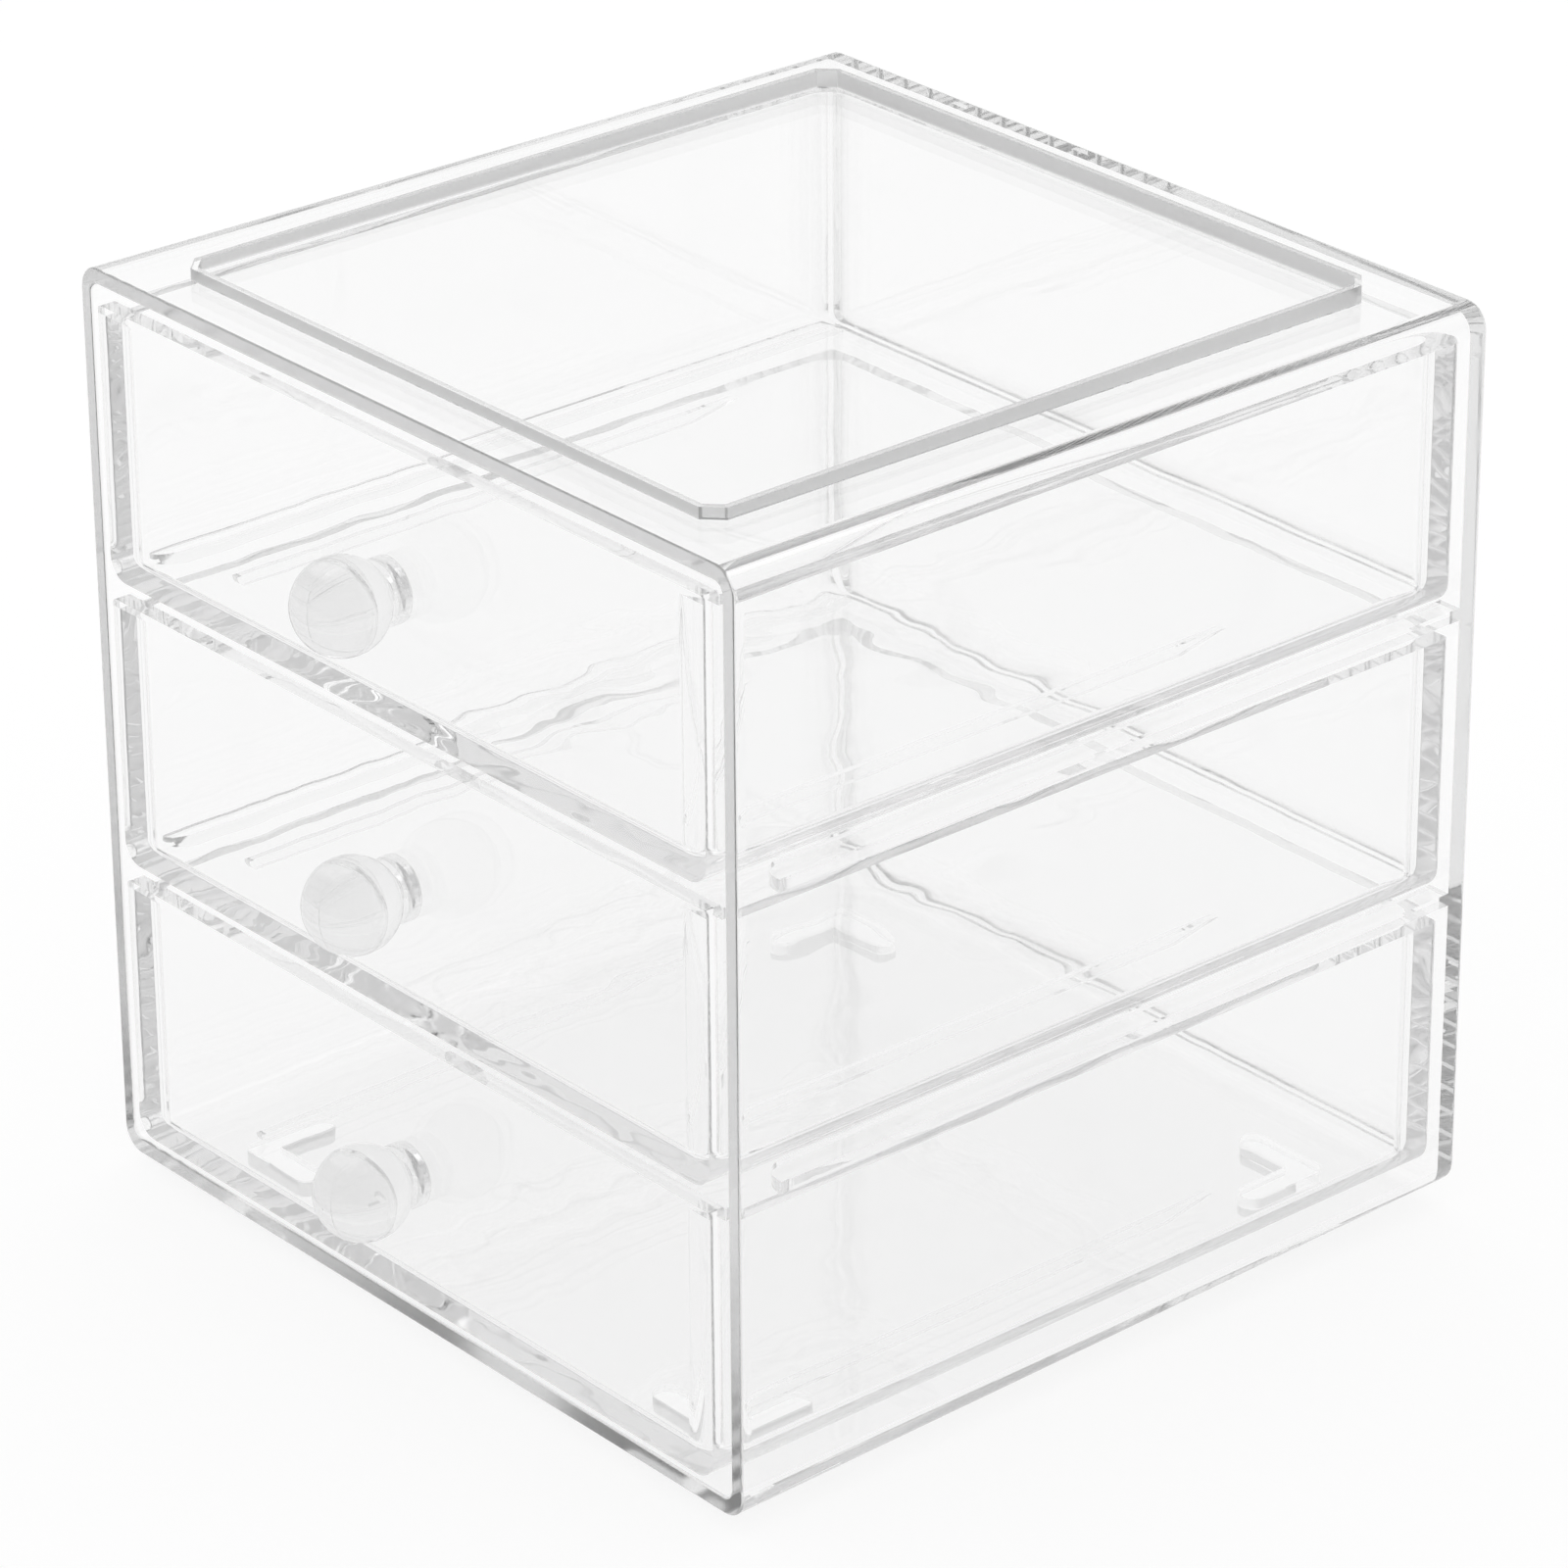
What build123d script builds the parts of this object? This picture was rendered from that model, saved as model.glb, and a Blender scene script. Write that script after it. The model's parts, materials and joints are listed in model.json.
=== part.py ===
from build123d import *
import os
from math import radians, sqrt, tan

os.makedirs("parts", exist_ok=True)

# A clear box of three drawers, in millimetres, as it stands on a table with its drawers
# closed. The drawers face -Y. The origin is on the table, under the middle of the whole
# object, knobs included.

# Case: one moulding, open at the front. Its outside leans in towards the back by the draft.
case_width = 168.0
case_depth = 164.0
case_corner = 4.5
bay_corner = 2.0
side_wall = 2.75
top_wall = 2.8
floor_wall = 3.2
back_wall = 3.0
draft_angle = 0.47
back_edge_round = 1.2
mouth_edge_round = 0.4

# Stacking rim on the top, and the feet that drop inside the rim of a box below.
rim_side_margin = 15.6
rim_front_margin = 9.0
rim_back_margin = 12.3
rim_height = 2.0
rim_wall = 1.3
rim_corner_cut = 3.2
rim_draft_angle = 1.0
foot_height = 3.0
foot_width = 5.0
foot_arm = 18.0
foot_play = 2.5

# Drawers: three equal trays, each moulded in one with its front.
levels = ["bottom", "middle", "top"]
front_height = 49.6
front_thickness = 3.1
front_proud = 1.0
front_top_round = 0.8
tray_drop = 2.4
tray_wall = 2.5
tray_floor = 2.8
keel_round = 4.0
tray_back_round = 1.0
well_corner = 5.0
well_floor_round = 2.0

# Clearances of the drawers in the bay.
side_gap = 3.25
front_gap = 3.9
head_gap = 2.85
stop_gap = 0.3
running_gap = 0.25

# Ledges along both sides of the bay, which carry the upper drawers by their edges.
ledge_bearing = 2.5
ledge_thickness = 2.3
ledge_front_margin = 10.0
ledge_corner = 5.0

# Skids under each tray. The lowest drawer runs on its skids.
skid_side_margin = 17.0
skid_front_margin = 15.0
skid_back_margin = 37.7
skid_width = 1.5
skid_height = 2.0
skid_run_out = 10.0

# Knobs: a clear ball on a collar, held by a pin in a hole of the drawer's front.
ball_diameter = 16.8
neck_diameter = 7.6
collar_diameter = 11.6
collar_thickness = 2.5
collar_round = 0.6
pin_diameter = 5.0
pin_play = 0.1
pin_recess = 0.4
knob_rise = 24.3

# Heights that follow, from the table up.
floor_level = foot_height + floor_wall
lowest_underside = floor_level + running_gap + skid_height
drawer_pitch = front_height + front_gap
undersides = [lowest_underside + drawer_pitch * step for step in range(len(levels))]
ceiling_level = undersides[-1] + front_height + head_gap
body_top = ceiling_level + top_wall
body_height = body_top - foot_height
body_middle = (body_top + foot_height) / 2

# Places that follow, from the knobs to the back.
ball_radius = ball_diameter / 2
ball_reach = collar_thickness + sqrt(ball_radius**2 - (neck_diameter / 2) ** 2)
knob_reach = ball_reach + ball_radius
overall_depth = knob_reach + front_proud + case_depth
drawer_face = knob_reach - overall_depth / 2
front_back = drawer_face + front_thickness
case_front = drawer_face + front_proud
case_back = case_front + case_depth
bay_back = case_back - back_wall
drawer_back = bay_back - stop_gap

# Widths that follow.
lean = case_depth * tan(radians(draft_angle))
bay_width = case_width - 2 * side_wall
drawer_width = bay_width - 2 * side_gap


def facing_front(y, z):
    """A plane that faces the viewer, with its own origin at height z."""
    return Plane(origin=(0, y, z), x_dir=(1, 0, 0), z_dir=(0, -1, 0))


def along_depth(edge):
    """True of an edge that runs from front to back, leaning or not."""
    return edge.bounding_box().size.Y > case_depth / 2


# ---- Case ----
# The space for the drawers. Its sides and ceiling lean in with the outside of the case.
# Its floor is level.
with BuildPart() as bay:
    bay_height = ceiling_level - floor_level
    with BuildSketch(facing_front(case_front, floor_level + bay_height / 2)):
        Rectangle(bay_width, bay_height)
    extrude(amount=case_front - bay_back)
    bay_sides = bay.faces().filter_by(Axis.X)
    bay_ceiling = bay.faces().sort_by(Axis.Z)[-1]
    draft(bay_sides + [bay_ceiling], facing_front(case_front, 0), -draft_angle)
    fillet(bay.edges().filter_by(along_depth), radius=bay_corner)

# The rim's corners are cut at 45 degrees inside and out. Its walls thin towards the top by
# their draft, and its top is level all round.
rim_width = case_width - 2 * rim_side_margin
rim_depth = case_depth - rim_front_margin - rim_back_margin
rim_middle = case_front + rim_front_margin + rim_depth / 2
rim_root = (top_wall + lean) / 2
with BuildPart() as rim:
    with BuildSketch(Plane.XY.offset(body_top - rim_root)) as rim_outline:
        with Locations((0, rim_middle)):
            Rectangle(rim_width, rim_depth)
        chamfer(rim_outline.vertices(), length=rim_corner_cut)
    extrude(amount=rim_root + rim_height, taper=rim_draft_angle)
    with BuildSketch(Plane.XY.offset(body_top - rim_root)):
        offset(rim_outline.sketch, amount=-rim_wall, kind=Kind.INTERSECTION)
    extrude(amount=rim_root + rim_height, taper=-rim_draft_angle, mode=Mode.SUBTRACT)

with BuildPart() as case_shell:
    with BuildSketch(facing_front(case_front, body_middle)):
        Rectangle(case_width, body_height)
    extrude(amount=case_front - case_back)
    case_walls = case_shell.faces().filter_by(Axis.Y, reverse=True)
    draft(case_walls, facing_front(case_front, 0), -draft_angle)
    fillet(case_shell.edges().filter_by(along_depth), radius=case_corner)
    fillet(case_shell.faces().sort_by(Axis.Y)[-1].edges(), radius=back_edge_round)
    add(bay.part, mode=Mode.SUBTRACT)
    fillet(case_shell.faces().sort_by(Axis.Y)[0].edges(), radius=mouth_edge_round)

    # The ledges are rooted in the side walls and in the back wall.
    ledge_root = case_width / 2 - (side_wall + lean) / 2
    ledge_reach = ledge_root - (drawer_width / 2 - ledge_bearing)
    ledge_length = case_depth - ledge_front_margin - back_wall / 2
    ledge_x = ledge_root - ledge_reach / 2
    ledge_y = case_front + ledge_front_margin + ledge_length / 2
    for underside in undersides[1:]:
        with BuildSketch(Plane.XY.offset(underside - running_gap - ledge_thickness)) as ledges:
            with Locations((-ledge_x, ledge_y), (ledge_x, ledge_y)):
                Rectangle(ledge_reach, ledge_length)
            inner_front = ledges.vertices().group_by(Axis.Y)[0].sort_by(lambda v: abs(v.X))[0:2]
            fillet(inner_front, radius=ledge_corner)
        extrude(amount=ledge_thickness)

    # The rim is rooted in the top wall.
    add(rim.part)

    # Each foot is two round-ended arms that meet under a corner of the rim.
    foot_x = rim_width / 2 - rim_wall - foot_play - foot_width / 2
    foot_y = rim_depth / 2 - rim_wall - foot_play - foot_width / 2
    arm_middle = (foot_arm - foot_width) / 2
    with BuildSketch(Plane.XY):
        for side in (-1, 1):
            for end in (-1, 1):
                elbow = (side * foot_x, rim_middle + end * foot_y)
                SlotCenterPoint((elbow[0] - side * arm_middle, elbow[1]), elbow, foot_width)
                SlotCenterPoint((elbow[0], elbow[1] - end * arm_middle), elbow, foot_width)
    extrude(amount=foot_height + (floor_wall + lean) / 2)

case_shell.part.label = "case_shell"
export_step(case_shell.part, "parts/case_shell.step")


# ---- Drawers ----
def make_drawer(underside):
    """A tray moulded in one with its front and its skids, with the hole for its knob."""
    tray_height = front_height - tray_drop
    with BuildPart() as drawer:
        with BuildSketch(facing_front(drawer_face, underside + front_height / 2)) as front:
            Rectangle(drawer_width, front_height)
            fillet(front.vertices().group_by(Axis.Y)[0], radius=keel_round)
            fillet(front.vertices().group_by(Axis.Y)[-1], radius=front_top_round)
        extrude(amount=-front_thickness)

        with BuildSketch(facing_front(front_back, underside + tray_height / 2)) as tray:
            Rectangle(drawer_width, tray_height)
            fillet(tray.vertices().group_by(Axis.Y)[0], radius=keel_round)
        extrude(amount=front_back - drawer_back)
        back_uprights = drawer.edges().filter_by(Axis.Z).group_by(Axis.Y)[-1]
        fillet(back_uprights, radius=tray_back_round)

        # The well is rounded at its four corners and all round its floor.
        well_width = drawer_width - 2 * tray_wall
        well_length = drawer_back - tray_wall - front_back
        with BuildSketch(Plane.XY.offset(underside + tray_floor)):
            with Locations((0, front_back + well_length / 2)):
                RectangleRounded(well_width, well_length, well_corner)
        extrude(amount=front_height, mode=Mode.SUBTRACT)
        well_floor = drawer.faces().filter_by(Axis.Z).group_by(Axis.Z)[1]
        fillet(well_floor.edges(), radius=well_floor_round)

        # Each skid has a round nose, and runs out into the floor at its far end.
        nose = drawer_face + skid_front_margin
        heel = drawer_back - skid_back_margin
        keel = underside - skid_height
        root = underside + tray_floor / 2
        for side in (-1, 1):
            with BuildSketch(Plane.YZ.offset(side * (drawer_width / 2 - skid_side_margin))):
                with BuildLine():
                    CenterArc((nose + skid_height, underside), skid_height, 180, 90)
                    Polyline(
                        (nose + skid_height, keel),
                        (heel - skid_run_out, keel),
                        (heel, underside),
                        (heel, root),
                        (nose, root),
                        (nose, underside),
                    )
                make_face()
            extrude(amount=skid_width / 2, both=True)

        with Locations(facing_front(drawer_face, underside + knob_rise)):
            Hole(radius=pin_diameter / 2 + pin_play, depth=front_thickness)
    return drawer


for level, underside in zip(levels, undersides):
    drawer = make_drawer(underside)
    drawer.part.label = f"drawer_{level}"
    export_step(drawer.part, f"parts/drawer_{level}.step")


# ---- Knobs ----
def make_knob(underside):
    """Ball, neck, collar and pin turned in one about the knob's own axis."""
    seat = (0, drawer_face, underside + knob_rise)
    pin_end = front_thickness - pin_recess
    pin_radius = pin_diameter / 2
    neck_radius = neck_diameter / 2
    collar_radius = collar_diameter / 2
    with BuildPart() as knob:
        # On this plane the first coordinate is the radius, the second the depth behind the face.
        with BuildSketch(Plane(origin=seat, x_dir=(0, 0, 1), z_dir=(-1, 0, 0))):
            with BuildLine():
                Polyline(
                    (0, -knob_reach),
                    (0, pin_end),
                    (pin_radius, pin_end),
                    (pin_radius, 0),
                    (collar_radius, 0),
                    (collar_radius, collar_round - collar_thickness),
                )
                CenterArc(
                    (collar_radius - collar_round, collar_round - collar_thickness),
                    collar_round,
                    0,
                    -90,
                )
                collar_face = -collar_thickness
                Line((collar_radius - collar_round, collar_face), (neck_radius, collar_face))
                ThreePointArc((neck_radius, collar_face), (ball_radius, -ball_reach), (0, -knob_reach))
            make_face()
        revolve(axis=Axis(seat, (0, 1, 0)))
    return knob


for level, underside in zip(levels, undersides):
    knob = make_knob(underside)
    knob.part.label = f"knob_{level}"
    export_step(knob.part, f"parts/knob_{level}.step")
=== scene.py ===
import json
from math import radians

import bpy
from mathutils import Euler, Matrix, Vector


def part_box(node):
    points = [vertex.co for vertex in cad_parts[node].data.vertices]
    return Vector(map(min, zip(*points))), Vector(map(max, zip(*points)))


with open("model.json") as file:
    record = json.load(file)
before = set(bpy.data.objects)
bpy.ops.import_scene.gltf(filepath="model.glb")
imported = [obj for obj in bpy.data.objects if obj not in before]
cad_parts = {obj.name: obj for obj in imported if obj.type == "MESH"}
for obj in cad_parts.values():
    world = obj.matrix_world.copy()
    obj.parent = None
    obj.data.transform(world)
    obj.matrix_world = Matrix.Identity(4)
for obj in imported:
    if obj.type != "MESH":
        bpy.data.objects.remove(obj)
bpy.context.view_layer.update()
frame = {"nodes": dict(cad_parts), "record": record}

nodes = {name: bpy.data.objects[name] for name in frame["nodes"]}
mounts = {mount["name"]: mount for mount in frame["record"]["mounts"]}
bpy.ops.object.select_all(action="DESELECT")


# ---- Case ----
# The outer box is one moulding of clear polystyrene with polished faces. Its walls keep broad,
# faint waves from the mould, and turn grey where they are seen on edge.
polystyrene_ior = 1.49
plastic_clarity = 0.87
plastic_depth_per_metre = 8.5
haze_scale = 60.0
haze_roughness = 0.08
haze_grey = 0.9


def grey(value):
    """A neutral colour."""
    return (value, value, value, 1.0)


def add_math(tree, operation, *operands):
    """The output of a Math node. Each operand is a number or the output of another node."""
    node = tree.nodes.new("ShaderNodeMath")
    node.operation = operation
    for socket, operand in zip(node.inputs, operands):
        if isinstance(operand, bpy.types.NodeSocket):
            tree.links.new(operand, socket)
        else:
            socket.default_value = operand
    return node.outputs[0]


def add_noise(tree, detail):
    """A noise on the piece's own coordinates."""
    place = tree.nodes.new("ShaderNodeTexCoord")
    noise = tree.nodes.new("ShaderNodeTexNoise")
    noise.inputs["Detail"].default_value = detail
    tree.links.new(place.outputs["Object"], noise.inputs["Vector"])
    return noise


def start_group(name, inputs, outputs):
    """An empty shader node group with the sockets given, and its two end nodes."""
    group = bpy.data.node_groups.new(name, "ShaderNodeTree")
    for in_out, sockets in (("INPUT", inputs), ("OUTPUT", outputs)):
        for label, kind in sockets.items():
            group.interface.new_socket(label, in_out=in_out, socket_type=f"NodeSocket{kind}")
    return group, group.nodes.new("NodeGroupInput"), group.nodes.new("NodeGroupOutput")


def make_flow_group():
    """Broad waves that moulded clear plastic keeps in its walls, and thin patches of haze."""
    group, given, result = start_group(
        "moulding_flow",
        {"Wave length": "Float", "Wave height": "Float", "Tint": "Color"},
        {"Colour": "Color", "Roughness": "Float", "Normal": "Vector"},
    )
    waves = add_noise(group, detail=1.0)
    waves.inputs["Roughness"].default_value = 0.4
    waves_per_metre = add_math(group, "DIVIDE", 1.0, given.outputs["Wave length"])
    group.links.new(waves_per_metre, waves.inputs["Scale"])
    bump = group.nodes.new("ShaderNodeBump")
    bump.inputs["Strength"].default_value = 1.0
    group.links.new(given.outputs["Wave height"], bump.inputs["Distance"])
    group.links.new(waves.outputs[0], bump.inputs["Height"])
    group.links.new(bump.outputs["Normal"], result.inputs["Normal"])

    # Only the noise's highest patches are hazy. The rest keeps a perfect polish.
    haze = add_noise(group, detail=1.0)
    haze.inputs["Scale"].default_value = haze_scale
    patches = group.nodes.new("ShaderNodeMapRange")
    patches.inputs["From Min"].default_value = 0.6
    patches.inputs["From Max"].default_value = 0.9
    patches.inputs["To Min"].default_value = 0.0
    patches.inputs["To Max"].default_value = haze_roughness
    group.links.new(haze.outputs[0], patches.inputs["Value"])
    group.links.new(patches.outputs["Result"], result.inputs["Roughness"])
    tone = group.nodes.new("ShaderNodeMix")
    tone.data_type = "RGBA"
    tone.blend_type = "MULTIPLY"
    tone.inputs["B"].default_value = grey(haze_grey)
    group.links.new(patches.outputs["Result"], tone.inputs["Factor"])
    group.links.new(given.outputs["Tint"], tone.inputs["A"])
    group.links.new(tone.outputs["Result"], result.inputs["Colour"])
    return group


def make_frost_group():
    """The frosted finish where the mask is 1, and the finish given where it is 0."""
    group, given, result = start_group(
        "frosting",
        {
            "Mask": "Float",
            "Colour": "Color",
            "Roughness": "Float",
            "Frost colour": "Color",
            "Frost roughness": "Float",
        },
        {"Colour": "Color", "Roughness": "Float"},
    )
    finishes = (
        ("RGBA", "Colour", "Frost colour"),
        ("FLOAT", "Roughness", "Frost roughness"),
    )
    for data_type, polished, frosted in finishes:
        blend = group.nodes.new("ShaderNodeMix")
        blend.data_type = data_type
        group.links.new(given.outputs["Mask"], blend.inputs["Factor"])
        group.links.new(given.outputs[polished], blend.inputs["A"])
        group.links.new(given.outputs[frosted], blend.inputs["B"])
        group.links.new(blend.outputs["Result"], result.inputs[polished])
    return group


moulding_flow = make_flow_group()
frosting = make_frost_group()


def make_clear_plastic(name, tint, wave_length, wave_height):
    """A polished clear moulding, a little greyer where light goes a long way inside it."""
    material = bpy.data.materials.new(name)
    material.use_nodes = True
    tree = material.node_tree
    plastic = tree.nodes["Principled BSDF"]
    plastic.inputs["Transmission Weight"].default_value = 1.0
    plastic.inputs["IOR"].default_value = polystyrene_ior
    inside = tree.nodes.new("ShaderNodeVolumeAbsorption")
    inside.inputs["Color"].default_value = grey(plastic_clarity)
    inside.inputs["Density"].default_value = plastic_depth_per_metre
    tree.links.new(inside.outputs["Volume"], tree.nodes["Material Output"].inputs["Volume"])
    flow = tree.nodes.new("ShaderNodeGroup")
    flow.node_tree = moulding_flow
    flow.inputs["Wave length"].default_value = wave_length
    flow.inputs["Wave height"].default_value = wave_height
    flow.inputs["Tint"].default_value = tint
    tree.links.new(flow.outputs["Colour"], plastic.inputs["Base Color"])
    tree.links.new(flow.outputs["Roughness"], plastic.inputs["Roughness"])
    tree.links.new(flow.outputs["Normal"], plastic.inputs["Normal"])
    return material


def add_frost(material, mask, colour, roughness):
    """Frosts a clear plastic where the mask is 1."""
    tree = material.node_tree
    plastic = tree.nodes["Principled BSDF"]
    frost = tree.nodes.new("ShaderNodeGroup")
    frost.node_tree = frosting
    frost.inputs["Frost colour"].default_value = colour
    frost.inputs["Frost roughness"].default_value = roughness
    tree.links.new(mask, frost.inputs["Mask"])
    for target, finish in (("Base Color", "Colour"), ("Roughness", "Roughness")):
        tree.links.new(plastic.inputs[target].links[0].from_socket, frost.inputs[finish])
        tree.links.new(frost.outputs[finish], plastic.inputs[target])


def add_place(tree):
    """The piece's own coordinates."""
    return tree.nodes.new("ShaderNodeTexCoord").outputs["Object"]


def add_parts(tree, vector):
    """The X, Y and Z of a vector."""
    split = tree.nodes.new("ShaderNodeSeparateXYZ")
    tree.links.new(vector, split.inputs["Vector"])
    return split.outputs


def add_squareness(tree):
    """How squarely a face stands to the X, Y and Z axes, each from 0 to 1."""
    surface = tree.nodes.new("ShaderNodeNewGeometry")
    either_way = tree.nodes.new("ShaderNodeVectorMath")
    either_way.operation = "ABSOLUTE"
    tree.links.new(surface.outputs["Normal"], either_way.inputs[0])
    return add_parts(tree, either_way.outputs["Vector"])


case_plastic = make_clear_plastic(
    "case_plastic", grey(0.994), wave_length=0.05, wave_height=0.00002
)
nodes["case_shell"].material_slots[0].material = case_plastic

# The slots that form the rim and the feet are spark-cut and not polished, so the upright sides
# of both come out frosted. Their grey, darker on the feet down by the table, is painted shade.
# Heights are taken square to the platform, which leans back a little.
# Taken so, the floor's underside is 2.4 mm up at the mouth, and the frost stops below that.
platform = mounts["top_platform"]
platform_up = Vector(platform["axis"])
rim_base = platform_up.dot(Vector(platform["pos_m"])) + 0.0001
foot_top = 0.0023
tree = case_plastic.node_tree
height = tree.nodes.new("ShaderNodeVectorMath")
height.operation = "DOT_PRODUCT"
height.inputs[1].default_value = platform_up
tree.links.new(add_place(tree), height.inputs[0])
upright = add_math(tree, "LESS_THAN", add_squareness(tree)["Z"], 0.5)
above_platform = add_math(tree, "GREATER_THAN", height.outputs["Value"], rim_base)
below_floor = add_math(tree, "LESS_THAN", height.outputs["Value"], foot_top)
rim_sides_frost_and_painted_shade = add_math(tree, "MULTIPLY", above_platform, upright)
foot_sides_frost_and_painted_shade = add_math(tree, "MULTIPLY", below_floor, upright)
# Painted shade: the frost colours grey(0.78) on the rim's sides and grey(0.5) on the feet's
# sides.
add_frost(case_plastic, rim_sides_frost_and_painted_shade, colour=grey(0.78), roughness=0.3)
add_frost(case_plastic, foot_sides_frost_and_painted_shade, colour=grey(0.5), roughness=0.3)

# The mouth is where the mould parts. Its face and its rounded edges are a little dull.
mouth_round = 0.0004
mouth_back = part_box("case_shell")[0][1] + mouth_round
on_mouth = add_math(tree, "LESS_THAN", add_parts(tree, add_place(tree))["Y"], mouth_back)
add_frost(case_plastic, on_mouth, colour=grey(0.88), roughness=0.22)


# ---- Drawers ----
# Three equal trays of the same clear plastic, each with its front, its skids and its walls
# in one. Their thinner walls are wavier than the case's.
drawer_plastic = make_clear_plastic(
    "drawer_plastic", grey(0.994), wave_length=0.022, wave_height=0.00026
)
for level in ("bottom", "middle", "top"):
    nodes[f"drawer_{level}"].material_slots[0].material = drawer_plastic


# ---- Knobs ----
# Clear balls on round collars, of the same plastic. Each is glued by its pin into a drawer's
# front, with its collar flat against it.
# The knobs' colour, grey(0.9), is painted shade, for the darker view each ball shows as a lens.
knob_plastic = make_clear_plastic(
    "knob_plastic", grey(0.9), wave_length=0.005, wave_height=0.00018
)
for level in ("bottom", "middle", "top"):
    nodes[f"knob_{level}"].material_slots[0].material = knob_plastic

# The glue creeps round the pin and the collar's rim, and dulls them. It stops just short of the
# collar's own front, which stands 2.5 mm from the drawer's and stays clear.
glue_creep = 0.002495
drawer_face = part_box("drawer_top")[0][1]
tree = knob_plastic.node_tree
depth = add_parts(tree, add_place(tree))["Y"]
behind_neck = add_math(tree, "GREATER_THAN", depth, drawer_face - glue_creep)
add_frost(knob_plastic, behind_neck, colour=grey(0.88), roughness=0.18)

# Glue wets the collar's back, so it can't be seen as a face of its own.
glue_film = 0.0001
at_face = add_math(tree, "COMPARE", depth, drawer_face, glue_film)
square_on = add_math(tree, "GREATER_THAN", add_squareness(tree)["Y"], 0.9)
wetted = add_math(tree, "MULTIPLY", square_on, at_face)
shown = add_math(tree, "SUBTRACT", 1.0, wetted)
tree.links.new(shown, tree.nodes["Principled BSDF"].inputs["Alpha"])


# ---- Table ----
# A white sheet that the box stands on. It goes on far past the camera's view, and shows as
# nearly pure white, with a faint shadow, to the camera and through the plastic.
bpy.ops.mesh.primitive_plane_add(size=8.0, location=(0, 0, 0))
table = bpy.context.object
table.name = "table"

background_share = 0.88
table_white = bpy.data.materials.new("table_white")
table_white.use_nodes = True
tree = table_white.node_tree
paper = tree.nodes["Principled BSDF"]
paper.inputs["Roughness"].default_value = 0.9
paper.inputs["Base Color"].default_value = grey(0.96)
white = tree.nodes.new("ShaderNodeEmission")
white.inputs["Strength"].default_value = 1.0
rays = tree.nodes.new("ShaderNodeLightPath").outputs
mirrored = add_math(tree, "MAXIMUM", rays["Is Camera Ray"], rays["Is Glossy Ray"])
seen = add_math(tree, "MAXIMUM", mirrored, rays["Is Transmission Ray"])
sheet = tree.nodes.new("ShaderNodeMixShader")
tree.links.new(add_math(tree, "MULTIPLY", seen, background_share), sheet.inputs[0])
tree.links.new(paper.outputs[0], sheet.inputs[1])
tree.links.new(white.outputs[0], sheet.inputs[2])
tree.links.new(sheet.outputs[0], tree.nodes["Material Output"].inputs["Surface"])
table.data.materials.append(table_white)


# ---- Studio ----
# An even tent of white paper round the table, with one weak lamp overhead. In reflections the
# tent is a little darker on the side where the camera stands, as a photographer makes it.
camera_side = (0.68, -0.58, 0.44)
tent_far_side = 0.95
tent_camera_side = 0.6
world = bpy.data.worlds.new("studio")
bpy.context.scene.world = world
world.use_nodes = True
tree = world.node_tree
tent = tree.nodes["Background"]
tent.inputs["Color"].default_value = grey(1.0)
direction = tree.nodes.new("ShaderNodeTexCoord")
towards_camera = tree.nodes.new("ShaderNodeVectorMath")
towards_camera.operation = "DOT_PRODUCT"
towards_camera.inputs[1].default_value = camera_side
tree.links.new(direction.outputs["Generated"], towards_camera.inputs[0])
fall_off = tree.nodes.new("ShaderNodeMapRange")
fall_off.interpolation_type = "SMOOTHSTEP"
fall_off.inputs["From Min"].default_value = -0.2
fall_off.inputs["From Max"].default_value = 0.8
fall_off.inputs["To Min"].default_value = tent_far_side
fall_off.inputs["To Max"].default_value = tent_camera_side
tree.links.new(towards_camera.outputs["Value"], fall_off.inputs["Value"])
rays = tree.nodes.new("ShaderNodeLightPath").outputs
unreflected = add_math(tree, "LESS_THAN", rays["Glossy Depth"], 0.5)
brightness = tree.nodes.new("ShaderNodeMix")
brightness.data_type = "FLOAT"
brightness.inputs["B"].default_value = 1.0
tree.links.new(unreflected, brightness.inputs["Factor"])
tree.links.new(fall_off.outputs["Result"], brightness.inputs["A"])
tree.links.new(brightness.outputs["Result"], tent.inputs["Strength"])

lamp_place = (-0.2, 0.3, 1.4)
lamp_turn = (radians(-12), radians(-8), 0)
lamp_side = 1.2
bpy.ops.object.light_add(type="AREA", location=lamp_place, rotation=lamp_turn)
overhead = bpy.context.object
overhead.name = "overhead"
overhead.data.shape = "RECTANGLE"
overhead.data.size = lamp_side
overhead.data.size_y = lamp_side
overhead.data.energy = 2.5

# Light that enters a wall by its edge is thrown from side to side many times on its way out.
most_bounces = 128
cycles = bpy.context.scene.cycles
cycles.max_bounces = most_bounces
cycles.transmission_bounces = most_bounces
cycles.glossy_bounces = most_bounces


# ---- Camera ----
# A long lens to the right of the box and above it, as in the photograph.
camera_place = (0.8238, -0.6956, 0.6077)
camera_azimuth = 49.445
camera_elevation = 26.025
camera_roll = -0.364
camera_lens = 162.18
sensor_width = 36.0
bpy.ops.object.camera_add(location=camera_place)
camera = bpy.context.object
turn = Euler((radians(90 - camera_elevation), 0, radians(camera_azimuth))).to_matrix()
tilt = Matrix.Rotation(radians(camera_roll), 3, "Z")
camera.rotation_euler = (turn @ tilt).to_euler()
camera.data.lens = camera_lens
camera.data.sensor_width = sensor_width
camera.data.sensor_fit = "HORIZONTAL"
camera.data.clip_end = 20.0
bpy.context.scene.camera = camera

bpy.context.scene.view_settings.view_transform = "Standard"
